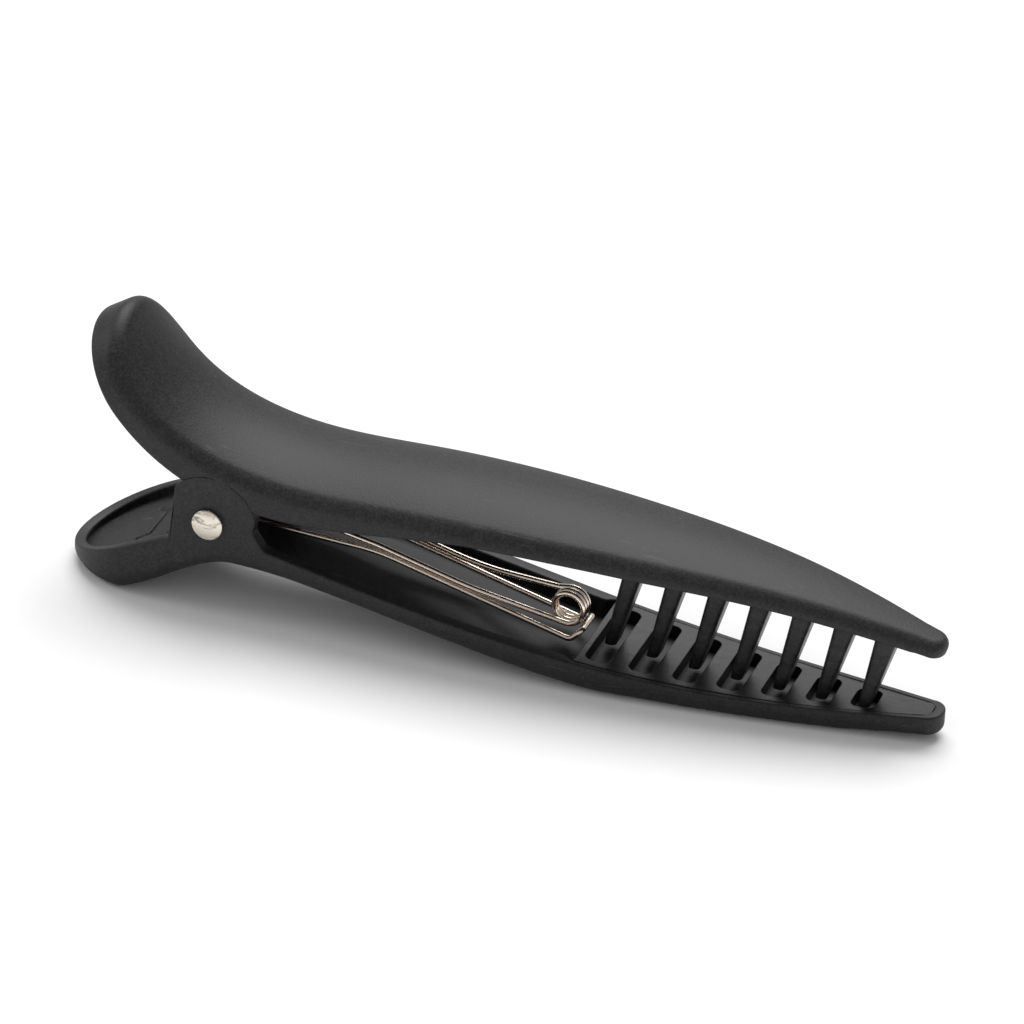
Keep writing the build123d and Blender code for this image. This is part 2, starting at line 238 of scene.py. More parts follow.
@dataclass(frozen=True)
class ClipLines:
    """Outlines that both jaws share, in millimetres about the rivet's axis."""

    jaw_reach: float = 93.4
    paddle_reach: float = 20.8
    ground_drop: float = 12.8
    cheek_half_width: float = 9.6
    belly_half_width: float = 10.0
    belly_x: float = 24.0
    tab_half_width: float = 9.6
    tip_half_width: float = 2.0
    tab_end_x: float = -14.6
    tab_end_z: float = 23.6
    cover_height_pivot: float = 9.2
    cover_height_throat: float = 8.9
    cover_height_tip: float = 0.9
    ear_radius: float = 6.4

    def half_width(self, x: Array) -> Array:
        """Half width at x: eased behind the belly, then falling as the square of the distance to the tip."""
        rear = eased_knots(x, [(self.tab_end_x, self.tab_half_width), (0, self.cheek_half_width),
                               (self.belly_x, self.belly_half_width)])
        s = np.clip((x - self.belly_x) / (self.jaw_reach - self.belly_x), 0, 1)
        return rear - (self.belly_half_width - self.tip_half_width) * s * s

    def top_line(self, samples: int = 3000) -> Array:
        """Centre line of the cover's top, from the end of the thumb tab to the tip."""
        points = [(self.tab_end_x, self.tab_end_z), (-6.6, self.cover_height_pivot + 4.7),
                  (5.0, self.cover_height_pivot), (self.belly_x, self.cover_height_throat),
                  (54.0, self.cover_height_throat - 0.9), (76.0, self.cover_height_tip + 4.3),
                  (self.jaw_reach, self.cover_height_tip)]
        return natural_cubic(np.array(points), samples)

    def rim_line(self, samples: int = 1500) -> Array:
        """Top edge of the lower jaw, from the window to the tip."""
        points = [(7.5, -2.3), (26.5, -5.5), (50.0, -8.8), (70.0, -9.8), (self.jaw_reach, -9.0)]
        return natural_cubic(np.array(points), samples)

    def rim_height(self, x: Array) -> Array:
        """Height of the lower jaw's rim ahead of the window."""
        line = self.rim_line()
        return np.interp(x, line[:, 0], line[:, 1])

    def bottom_height(self, x: Array) -> Array:
        """Height of the lower jaw's underside, never below the surface that it rests on."""
        knots = [(-self.paddle_reach, -12.4), (-14.5, -13.1), (3, -5.9), (58, -13.1), (75, -13.1),
                 (self.jaw_reach, -11.9)]
        return np.maximum(eased_knots(x, knots), -self.ground_drop)


@dataclass(frozen=True)
class Outline:
    """Plan outline of a long part: a round rear end, two sides and a round front end.

    Attributes:
        place: distance along the part of each point.
        side: distance across the part of each point.
        centre: distance along the part of the middle point that the outline shrinks towards.
    """

    place: Array
    side: Array
    centre: Array

    def inset(self, distance: Array) -> tuple[Array, Array]:
        """Outline moved towards its middle line by a distance, as places along and across."""
        reach = np.hypot(self.place - self.centre, self.side)
        share = np.clip(distance / reach, 0, 1)
        return self.place + (self.centre - self.place) * share, self.side * (1 - share)

    @property
    def reach(self) -> Array:
        """Distance from each point to the middle line."""
        return np.hypot(self.place - self.centre, self.side)


def long_outline(sides: Array, half: Array, rear_round: float, front_round: float, end_steps: int) -> Outline:
    """Outline with rounded ends.

    Args:
        sides: places along one side, from rear to front, between the two end arcs' centres.
        half: half width at each of those places.
        rear_round: radius of the rear end's arc.
        front_round: radius of the front end's arc.
        end_steps: points on each quarter of an end arc.
    Returns:
        The outline, starting at the foremost point and running round by the far side.
    """
    quarter = np.linspace(0, np.pi / 2, end_steps, endpoint=False)
    front = (sides[-1] + front_round * np.cos(quarter), half[-1] * np.sin(quarter))
    rear_turn = np.pi / 2 + np.linspace(0, np.pi, 2 * end_steps + 1)[1:-1]
    rear = (sides[0] + rear_round * np.cos(rear_turn), half[0] * np.sin(rear_turn))
    place = np.concatenate([front[0], sides[::-1], rear[0], sides, front[0][:0:-1]])
    side = np.concatenate([front[1], half[::-1], rear[1], -half, -front[1][:0:-1]])
    centre = np.clip(place, sides[0], sides[-1])
    return Outline(place, side, centre)


# ---------------------------------------------------------------- sub-assemblies


@dataclass
class UpperCover:
    """Crowned cover of the upper jaw, with its thumb tab, skirt and two lugs on the rivet."""

    lines: ClipLines
    home: Home
    wall: float = 1.5
    crown_radius: float = 24.0
    edge_roll: float = 1.7
    lip_round: float = 0.35
    ear_gap: float = 0.04
    tip_solid: float = 4.0
    tip_roof: float = 1.2
    skirt_tab: float = 5.2
    skirt_pivot: float = 6.4
    skirt_throat: float = 3.8
    skirt_tip: float = 2.1
    lug_radius: float = 3.5
    lug_height: float = 7.2
    lug_bevel: float = 0.25
    lug_wall: float = 1.6
    lug_inner: float = 6.0
    bore_radius: float = 1.3

    def _bend(self, run: Array, across: Array, lift: Array) -> Array:
        """Carries places along, across and above the top line to points in space.

        The place is a length along the line; the lift is laid off along the line's normal there.
        """
        line = self.lines.top_line()
        length, slope = flat_run(line), flat_way(line)
        x, z = np.interp(run, length, line[:, 0]), np.interp(run, length, line[:, 1])
        tx, tz = np.interp(run, length, slope[:, 0]), np.interp(run, length, slope[:, 1])
        return np.stack([x - tz * lift, across, z + tx * lift], axis=-1)

    def _skirt(self, run: Array, notched: bool = True) -> Array:
        """Depth of the skirt below the top line; over the cheek it stops at the ear's arc plus a gap.

        The arc's depth is the nearer root of |line point - depth * normal| = arc radius.
        """
        lines = self.lines
        line = lines.top_line()
        length, slope = flat_run(line), flat_way(line)
        depth = eased_knots(line[:, 0], [(lines.tab_end_x, self.skirt_tab), (2, self.skirt_pivot),
                                         (45, self.skirt_throat), (lines.jaw_reach, self.skirt_tip)])
        normal = np.stack([-slope[:, 1], slope[:, 0]], axis=1)
        toward = (line * normal).sum(1)
        radius = lines.ear_radius + self.ear_gap
        square = toward**2 - (line**2).sum(1) + radius**2
        arc = np.where(square > 0, toward - np.sqrt(np.maximum(square, 0)), np.inf)
        return np.interp(run, length, np.minimum(depth, arc) if notched else depth)

    def shell(self) -> Surface:
        """Closed shell, as rings that run round the plan outline.

        From the crown's middle the rings go outwards, over the rolled edge, down the skirt, round its lip,
        up the inside and back to the middle under the roof. The crown falls as R - sqrt(R^2 - y^2).
        """
        lines = self.lines
        line = lines.top_line()
        total = np.hypot(*np.diff(line, axis=0).T).sum()
        sides = np.linspace(lines.tab_half_width, total - lines.tip_half_width, 560)
        half = lines.half_width(np.interp(sides, np.linspace(0, total, len(line)), line[:, 0]))
        outline = long_outline(sides, half, lines.tab_half_width, lines.tip_half_width, 26)
        roll = np.minimum(self.edge_roll, 0.6 * outline.reach)
        line_skirt = self._skirt(outline.place)
        free_skirt = self._skirt(outline.place, False)
        lip = self.lip_round - (self.lip_round - 0.05) * ease(free_skirt - line_skirt, 0.0, 0.3)

        def ring(inset: Array, lift: Array) -> Array:
            run, across = outline.inset(inset)
            crown = self.crown_radius - np.sqrt(self.crown_radius**2 - across**2)
            return self._bend(run, across, lift - crown)

        def edge(inset: Array, lift: Array) -> Array:
            run, across = outline.inset(inset)
            return self._bend(run, across, lift)

        crown_side = self.crown_radius - np.sqrt(self.crown_radius**2 - outline.side**2)
        rows = [ring(outline.reach - (outline.reach - roll) * share, 0.0)
                for share in np.linspace(0, 1, 14)]
        rows += [ring(roll * (1 - math.sin(turn)), -roll * (1 - math.cos(turn)))
                 for turn in np.linspace(0, np.pi / 2, 12)[1:]]
        wall_top = -(crown_side + roll)
        wall_end = -np.maximum(line_skirt - lip, crown_side + roll)
        rows += [edge(0.0, wall_top + (wall_end - wall_top) * share) for share in (0.15, 0.4, 0.7, 1.0)]
        rows += [edge(lip * (1 - math.cos(turn)), wall_end - lip * math.sin(turn))
                 for turn in np.linspace(0, np.pi / 2, 6)[1:]]
        wall = np.minimum(self.wall, 0.85 * outline.reach)
        rows += [edge(wall - lip * (1 - math.sin(turn)), wall_end - lip * math.cos(turn))
                 for turn in np.linspace(0, np.pi / 2, 6)]
        solid = ease(outline.place, total - self.tip_solid - 1.5, total - self.tip_solid)
        roof = -self.wall * (1 - solid) - solid * (line_skirt - self.tip_roof)
        inner_top = roof - crown_side
        rows += [edge(wall, wall_end + (inner_top - wall_end) * share) for share in (0.35, 0.7, 0.92)]
        rows += [ring(wall + (outline.reach - wall) * share, roof)
                 for share in (0.05, 0.2, 0.45, 0.7, 0.9, 1.0)]
        return ring_surface(rows)

    def lug(self, side: float) -> Surface:
        """Plate on the rivet: rings from the bore out to a U-shaped edge, across it and back to the bore."""
        turn = np.linspace(0, 2 * np.pi, 96, endpoint=False)
        up = np.maximum(np.sin(turn), 1e-6)
        across = np.maximum(np.abs(np.cos(turn)), 1e-6)
        leg = np.minimum(self.lug_radius / across, self.lug_height / up)
        reach = np.where(np.sin(turn) > 0, leg, self.lug_radius)
        near, far = side * self.lug_inner, side * (self.lug_inner + self.lug_wall)
        bevel = self.lug_bevel

        def ring(radius: Array, y: float) -> Array:
            radius = np.broadcast_to(radius, turn.shape)
            return np.stack([radius * np.cos(turn), np.full(turn.shape, y), radius * np.sin(turn)], axis=1)

        rows = [ring(self.bore_radius, near), ring(reach - bevel, near), ring(reach, near + side * bevel),
                ring(reach, far - side * bevel), ring(reach - bevel, far), ring(self.bore_radius, far),
                ring(self.bore_radius, near)]
        return ring_surface(rows)

    def build(self) -> bpy.types.Object:
        """Builds the cover as one piece that stands for the upper jaw's node."""
        piece = make_piece("jaw_cover", self.home, [self.shell(), self.lug(-1.0), self.lug(1.0)],
                           MOULDED_CREASE)
        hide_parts("upper_jaw")
        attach(piece, "upper")
        return piece


@dataclass
class LowerJaw:
    """Lower jaw: a trough with a thumb paddle, an ear round the rivet on each side and a pocket for the deck.

    Its rings run round the plan outline. From the middle of the underside they go outwards, round the bottom
    corner, up the wall, over the rim and down the inside to the middle of the floor.
    """

    lines: ClipLines
    home: Home
    paddle_edge: tuple[float, float] = (-5.4, -3.3)
    paddle_end_height: float = -10.4
    ear_rear: float = 135.0
    ear_front: float = 13.0
    window_rear: tuple[float, float] = (5.8, 0.0)
    bottom_round: float = 2.4
    rim_round: float = 0.28
    ear_rim_round: float = 0.06
    corner_softness: float = 3.4
    softened_steps: int = 16
    fine_step: float = 0.12
    plain_step: float = 0.45
    wall: float = 1.8
    paddle_wall: float = 1.5
    pocket_wall: float = 0.9
    tip_wall: float = 1.4
    pocket_front: float = 91.0
    floor_wall: float = 1.4
    pocket_start: float = 48.0
    pocket_depth: float = 1.75
    paddle_recess: float = 1.3
    groove_x: float = -10.1
    groove_half: float = 3.2
    groove_return: float = 1.7
    groove_depth: float = 0.32
    groove_splay: float = 30.0

    def _paddle_height(self, x: Array) -> Array:
        """Height of the paddle's rim: a straight line from its rear end to the ear."""
        edge_x, edge_z = self.paddle_edge
        slope = (edge_z - self.paddle_end_height) / (edge_x + self.lines.paddle_reach)
        return edge_z + (x - edge_x) * slope

    def _side(self, rear: float, front: float) -> tuple[Array, Array]:
        """Side curve of the rim and the matching places along the underside.

        Args:
            rear: place of the rear end arc's centre.
            front: place of the front end arc's centre.
        Returns:
            Rim points (n, 2) and the underside's place for each.
        """
        turn = np.radians(np.linspace(self.ear_rear, self.ear_front, 60))
        ear = self.lines.ear_radius * np.stack([np.cos(turn), np.sin(turn)], axis=1)
        rim = self.lines.rim_line()
        rim = rim[rim[:, 0] <= front]
        corners = np.array([[rear, float(self._paddle_height(np.array(rear)))], self.paddle_edge])
        curve = np.concatenate([corners, ear, [self.window_rear], rim])
        run = flat_run(curve)
        rim_start = run[len(corners) + len(ear) + 1]
        fine = np.concatenate([np.arange(0, rim_start + 4, self.fine_step),
                               np.arange(rim_start + 4, run[-1], self.plain_step), [run[-1]]])
        points = np.stack([np.interp(fine, run, curve[:, k]) for k in (0, 1)], axis=1)
        spread = self.softened_steps
        weight = np.exp(-0.5 * (np.arange(-spread, spread + 1) / self.corner_softness) ** 2)
        weight /= weight.sum()
        soft = np.stack([np.convolve(np.pad(points[:, k], spread, mode="edge"), weight, "valid")
                         for k in (0, 1)], axis=1)
        near = ((fine > 1.5) & (fine < rim_start + 2.5))[:, None]
        points = np.where(near, soft, points)
        ear_end = run[len(corners) + len(ear) - 1]
        vertex = run[len(corners) + len(ear)]
        upright = rim_start + 6
        anchors = [0.0, run[1], run[2], (run[2] + ear_end) / 2, ear_end, vertex, rim_start, upright, run[-1]]
        under = [rear, -5.55, -5.2, 0.4, 4.2, 4.6, 7.6, float(np.interp(upright, run, curve[:, 0])), front]
        below = np.interp(fine, anchors, under)
        far = fine > upright
        below[far] = points[far, 0]
        return points, below

    def _wall_at(self, x: Array, paddle_front: float) -> Array:
        """Wall thickness at x, from the paddle through the channel and the pocket to the tip."""
        start, front = self.pocket_start, self.pocket_front
        return eased_knots(x, [(paddle_front - 1.0, self.paddle_wall), (paddle_front, self.wall),
                               (start - 1.5, self.wall), (start, self.pocket_wall),
                               (front, self.pocket_wall), (front + 1.2, self.tip_wall)])

    def _floor(self, x: Array, y: Array) -> Array:
        """Height of the inside: the paddle's recess and its bracket groove, the channel and the pocket."""
        lines = self.lines
        paddle = self._paddle_height(x) - self.paddle_recess * 1.25
        arm = np.radians(self.groove_splay)
        beyond = np.abs(y) - self.groove_half
        along = np.clip((self.groove_x - x) * np.cos(arm) + beyond * np.sin(arm), 0, self.groove_return)
        to_arm = np.hypot(x - self.groove_x + along * np.cos(arm), beyond - along * np.sin(arm))
        to_line = np.hypot(x - self.groove_x, np.maximum(beyond, 0))
        paddle = paddle - self.groove_depth * (1 - ease(np.minimum(to_arm, to_line), 0.14, 0.3))
        channel = lines.bottom_height(x) + self.floor_wall
        pocket = lines.rim_height(x) - self.pocket_depth
        inside = channel + (pocket - channel) * ease(x, self.pocket_start - 0.3, self.pocket_start)
        return paddle + (inside - paddle) * ease(x, -7.5, -7.2)

    def shell(self) -> Surface:
        """Closed surface of the jaw."""
        lines = self.lines
        rear, front = lines.tab_half_width - lines.paddle_reach, lines.jaw_reach - lines.tip_half_width
        side, under = self._side(rear, front)
        quarter = np.linspace(0, np.pi / 2, 30, endpoint=False)
        nose = front + lines.tip_half_width * np.cos(quarter)
        nose_y = float(lines.half_width(np.array(front))) * np.sin(quarter)
        back_turn = np.pi / 2 + np.linspace(0, np.pi, 121)[1:-1]
        back = rear + lines.tab_half_width * np.cos(back_turn)
        back_y = lines.tab_half_width * np.sin(back_turn)
        nose_z, back_z = lines.rim_height(nose), self._paddle_height(back)
        way = flat_way(side)

        def loop(front_part: Array, side_part: Array, back_part: Array, sign: float = 1.0) -> Array:
            return np.concatenate([front_part, side_part[::-1], back_part, sign * side_part,
                                   sign * front_part[:0:-1]])

        rim_x, rim_z = loop(nose, side[:, 0], back), loop(nose_z, side[:, 1], back_z)
        low_x = loop(nose, under, back)
        normal_x = loop(0 * nose, -way[:, 1], 0 * back)
        normal_z = loop(0 * nose + 1, way[:, 0], 0 * back + 1)
        end_y = loop(nose_y, np.full(len(side), np.nan), back_y, -1.0)
        middle = np.clip(rim_x, rear, front)

        def point(x: Array, z: Array, inset: Array) -> Array:
            """Point at x and z, moved towards the middle line by the inset."""
            y = np.where(np.isnan(end_y), np.sign(sides) * lines.half_width(x), end_y)
            centre = np.where(np.isnan(end_y), x, middle)
            reach = np.maximum(np.hypot(x - centre, y), 1e-9)
            share = np.clip(inset / reach, 0, 1)
            return np.stack([x + (centre - x) * share, y * (1 - share), z], axis=1)

        sides = loop(np.ones(len(nose)), np.ones(len(side)), np.ones(len(back)), -1.0)
        end_reach = np.hypot(low_x - middle, np.nan_to_num(end_y))
        reach_low = np.where(np.isnan(end_y), lines.half_width(low_x), end_reach)
        room = rim_z - self.rim_round - lines.bottom_height(low_x)
        round_low = np.minimum(self.bottom_round, np.minimum(0.5 * reach_low, 0.75 * room))
        rows = []
        for share in np.linspace(1, 0, 10)[:-1]:
            ring = point(low_x, low_x, round_low + (reach_low - round_low) * share)
            ring[:, 2] = lines.bottom_height(ring[:, 0])
            rows.append(ring)
        for turn in np.linspace(np.pi / 2, 0, 9):
            ring = point(low_x, low_x, round_low * (1 - math.cos(turn)))
            ring[:, 2] = lines.bottom_height(ring[:, 0]) + round_low * (1 - math.sin(turn))
            rows.append(ring)
        edge = self.rim_round - (self.rim_round - self.ear_rim_round) * ease(rim_z, 0.6, 2.2)
        top_x, top_z = rim_x - normal_x * edge, rim_z - normal_z * edge
        start = rows[-1]
        for share in np.linspace(0, 1, 12)[1:]:
            x = np.where(np.isnan(end_y), low_x + (top_x - low_x) * share, rim_x)
            rows.append(point(x, start[:, 2] + (top_z - start[:, 2]) * share, 0.0))
        for turn in np.linspace(0, np.pi / 2, 6)[1:]:
            drop = edge * (1 - math.sin(turn))
            rows.append(point(rim_x - normal_x * drop, rim_z - normal_z * drop, edge * (1 - math.cos(turn))))
        wall = self._wall_at(rim_x, -5.2)
        for turn in np.linspace(np.pi / 2, 0, 6):
            drop = edge * (1 - math.sin(turn))
            inset = wall - edge * (1 - math.cos(turn))
            rows.append(point(rim_x - normal_x * drop, rim_z - normal_z * drop, inset))
        wall_low = self._wall_at(low_x, -7.2)
        foot = point(low_x, low_x, wall_low)
        foot[:, 2] = np.minimum(self._floor(foot[:, 0], foot[:, 1]), top_z)
        for share in np.linspace(0, 1, 9)[1:]:
            x = np.where(np.isnan(end_y), top_x + (low_x - top_x) * share, rim_x)
            rows.append(point(x, top_z + (foot[:, 2] - top_z) * share, wall + (wall_low - wall) * share))
        for share in np.linspace(0, 1, 28)[1:]:
            ring = point(low_x, low_x, wall_low + (reach_low - wall_low) * share)
            ring[:, 2] = np.minimum(self._floor(ring[:, 0], ring[:, 1]), rows[-1][:, 2] + 1.0)
            rows.append(ring)
        return ring_surface(rows)

    def build(self) -> bpy.types.Object:
        """Builds the jaw as one piece that stands for the lower jaw's node."""
        piece = make_piece("jaw_trough", self.home, [self.shell()], MOULDED_CREASE)
        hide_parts("lower_jaw")
        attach(piece, "lower")
        return piece


def transported(path: Array, radius: float, closed: bool = False) -> Surface:
    """Round wire along any path, with a frame that is carried along without twisting.

    Each step takes the last spoke direction and removes its share along the new direction.

    Args:
        path: points of the wire's centre line.
        radius: the wire's radius.
        closed: whether the wire's end joins its start; otherwise both ends are rounded off.
    Returns:
        Points and quads of the wire's surface.
    """
    if closed:
        along = np.roll(path, -1, axis=0) - np.roll(path, 1, axis=0)
    else:
        along = np.gradient(path, axis=0)
    along /= np.linalg.norm(along, axis=1)[:, None]
    first = np.empty_like(path)
    last = np.cross(along[0], [0.0, 1.0, 0.0]) + 1e-9
    for index, way in enumerate(along):
        last = last - way * (last @ way)
        last = last / np.linalg.norm(last)
        first[index] = last
    second = np.cross(along, first)
    turn = np.linspace(0, 2 * np.pi, WIRE_SIDES, endpoint=False)
    if closed:
        carried = first[-1] - along[0] * (first[-1] @ along[0])
        twist = math.atan2(carried @ second[0], carried @ first[0])
        turn = turn - np.linspace(0, twist, len(path))[:, None]
    else:
        turn = np.broadcast_to(turn, (len(path), WIRE_SIDES))
    spoke = np.cos(turn)[..., None] * first[:, None] + np.sin(turn)[..., None] * second[:, None]
    rings = path[:, None] + radius * spoke
    if closed:
        return ring_surface([*rings, rings[0]])
    start = [path[0] - lift * radius * along[0] + size * radius * spoke[0] for size, lift in WIRE_END]
    end = [path[-1] + lift * radius * along[-1] + size * radius * spoke[-1] for size, lift in WIRE_END]
    return ring_surface([*start, *rings, *reversed(end)])


def coil_path(centre: Spot, radius: float, pitch: float, turns: float, first: float, way: float,
              per_turn: int = 72) -> Array:
    """Helix along Y.

    Position = centre + (R sin a, pitch * (share - 1/2) * turns, R cos a), with the angle a from straight up.

    Args:
        centre: the helix's middle.
        radius: R.
        pitch: advance of one turn.
        turns: number of turns.
        first: starting angle a, in degrees.
        way: 1 where the angle grows, -1 where it falls.
        per_turn: points per turn.
    Returns:
        The points of the helix, from the lowest y to the highest.
    """
    share = np.linspace(0, 1, int(turns * per_turn) + 1)
    angle = math.radians(first) + way * 2 * np.pi * turns * share
    around = np.stack([radius * np.sin(angle), pitch * turns * (share - 0.5), radius * np.cos(angle)], axis=1)
    return around + np.array(centre)


@dataclass
class TorsionSpring:
    """Closing spring round the rivet, with one leg under the cover and one on the lower jaw's floor."""

    home: Home
    wire: float = 0.8
    coil_radius: float = 2.2
    turns: int = 4
    pitch: float = 0.82
    leg_lean: float = 40.0
    leg_upper: float = 8.0
    leg_lower: float = 6.2

    def build(self) -> bpy.types.Object:
        """Builds the spring."""
        turns = self.turns + (180 - 2 * self.leg_lean) / 360
        coil = coil_path((0, 0, 0), self.coil_radius, self.pitch, turns, self.leg_lean, 1.0)
        head, tail = coil[0] - coil[1], coil[-1] - coil[-2]
        steps = np.linspace(0, 1, 24)[:, None]
        upper = coil[0] + head / np.linalg.norm(head) * self.leg_upper * steps[:0:-1]
        lower = coil[-1] + tail / np.linalg.norm(tail) * self.leg_lower * steps[1:]
        piece = make_piece("closing_spring", self.home,
                           [transported(np.concatenate([upper, coil, lower]), self.wire / 2)], WIRE_CREASE)
        half = self.pitch * turns / 2
        ends = self.home.place(np.array([[0.0, -half, 0.0], [0.0, half, 0.0]]))
        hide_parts("torsion_spring")
        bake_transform(piece)
        return piece


@dataclass
class ThroatSpring:
    """Wireform in the throat: a coil in front, and each side's doubled arm, which hairpins round the rivet."""

    home: Home
    wire: float = 0.75
    stack: float = 0.85
    slope: float = 14.0
    bend_x: float = 20.0
    hairpin: float = 2.1
    hairpin_corner: float = 1.6
    half_spread: float = 2.7
    flare_x: float = 32.0
    coil_x: float = 44.6
    coil_z: float = -5.9
    coil_radius: float = 2.0
    coil_turns: int = 2
    coil_pitch: float = 0.8
    far_dip: float = 14.0
    hook_x: float = 45.6
    hook_reach: float = 1.3
    hook_rise: float = 1.2
    gentle_bend: float = 25.0
    tight_bend: float = 0.9
    lead_bend: float = 2.0
    point_spacing: float = 0.16

    def path(self) -> Array:
        """Closed centre line: the coil backwards, then both arms and the hook that joins them."""
        turns = self.coil_turns + (180 + self.far_dip + self.slope) / 360
        coil = coil_path((self.coil_x, 0, self.coil_z), self.coil_radius, self.coil_pitch, turns,
                         180 + self.slope, -1.0)
        near, far = coil[0], coil[-1]
        near_way, far_way = coil[1] - coil[0], coil[-1] - coil[-2]
        near_way, far_way = near_way / np.linalg.norm(near_way), far_way / np.linalg.norm(far_way)
        fall = math.tan(math.radians(self.slope))
        bend = near[2] + (near[0] - self.bend_x) * fall
        flare = bend - (self.flare_x - self.bend_x) * fall
        hook = bend - self.stack - (self.hook_x - self.bend_x) * fall
        spread, reach = self.half_spread, self.hairpin

        def arm(y: float) -> list[Spot]:
            """Corners of one doubled arm, out along its upper wire and back along its lower one."""
            return [(self.bend_x, y, bend), (-reach, y, reach), (-reach, y, -reach),
                    (self.bend_x, y, bend - self.stack)]

        front = self.hook_x + self.hook_reach
        joined = [(self.hook_x, -spread, hook), (front, -spread * 0.8, hook + self.hook_rise),
                  (front, spread * 0.8, hook + self.hook_rise), (self.hook_x, spread, hook)]
        corners = [tuple(near), tuple(near - near_way * 1.5), (self.flare_x, -spread, flare), *arm(-spread),
                   *joined, *reversed(arm(spread)), (self.flare_x, spread, flare),
                   tuple(far + far_way * 1.5), tuple(far)]
        gentle, lead = self.gentle_bend, self.lead_bend
        side = [gentle, self.hairpin_corner, self.hairpin_corner, gentle]
        radii = [lead, gentle, *side, *[self.tight_bend] * len(joined), *side, gentle, lead]
        route = rounded_path(corners, radii)
        loop = np.concatenate([coil[::-1], route[1:-1]])
        closed = np.concatenate([loop, loop[:1]])
        run = np.linalg.norm(np.diff(closed, axis=0), axis=1).sum()
        return resample(closed, np.linspace(0, 1, int(run / self.point_spacing), endpoint=False))

    def build(self) -> bpy.types.Object:
        """Builds the wireform as one closed wire."""
        wire = transported(self.path(), self.wire / 2, True)
        piece = make_piece("throat_wireform", self.home, [wire], WIRE_CREASE)
        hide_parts("throat_spring")
        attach(piece, "throat")
        return piece


@dataclass
class Rivet:
    """Rivet with a low domed head at the near cheek and a pressed cap at the far one."""

    lines: ClipLines
    home: Home
    pin_radius: float = 1.25
    seat_gap: float = 0.02
    head_radius: float = 2.05
    head_height: float = 0.9
    head_edge: float = 0.28
    dome: float = 0.3
    cap_grip: float = 0.5

    def _turned(self, profile: list[tuple[float, float]], way: float) -> Surface:
        """Surface of revolution round Y of (radius, y) points; way mirrors it to the near side."""
        turn = np.linspace(0, 2 * np.pi, TURNED_SIDES, endpoint=False)
        level = np.ones(TURNED_SIDES)
        return ring_surface([np.stack([radius * np.cos(turn), way * y * level, radius * np.sin(turn)], axis=1)
                             for radius, y in profile])

    def _head_profile(self, base: float) -> list[tuple[float, float]]:
        """Button profile: a flat seat, a short upright side, a quarter round and a shallow dome."""
        edge = self.head_edge
        side_top = base + self.head_height - self.dome - edge * 0.6
        side = [(self.head_radius, base), (self.head_radius, side_top)]
        corner = [(self.head_radius - edge * (1 - math.cos(turn)), side_top + edge * 0.6 * math.sin(turn))
                  for turn in np.linspace(0.2, np.pi / 2 - 0.25, 6)]
        last_radius, last_y = corner[-1]
        rise = base + self.head_height - last_y
        dome = [(last_radius * share, last_y + rise * (1 - share**2)) for share in np.linspace(0.94, 0, 14)]
        return side + corner + dome

    def build(self) -> list[bpy.types.Object]:
        """Builds the headed pin and the cap."""
        base = self.lines.cheek_half_width + self.seat_gap
        shank_end = self.lines.cheek_half_width + self.cap_grip
        head = self._turned([(0.0, -shank_end), (self.pin_radius, -shank_end), (self.pin_radius, base),
                             *self._head_profile(base)], -1.0)
        rivet = make_piece("rivet_headed", self.home, [head], TURNED_CREASE)
        grip = self.pin_radius + self.seat_gap
        cap_floor = shank_end + self.seat_gap
        cap_shape = self._turned([(0.0, cap_floor), (grip, cap_floor), (grip, base),
                                  *self._head_profile(base)], 1.0)
        cap = make_piece("rivet_end_cap", self.home, [cap_shape], TURNED_CREASE)
        for piece, node in ((rivet, "pivot_rivet"), (cap, "rivet_cap")):
            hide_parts(node)
            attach(piece, "lower")
        return [rivet, cap]


# ---------------------------------------------------------------- finishes


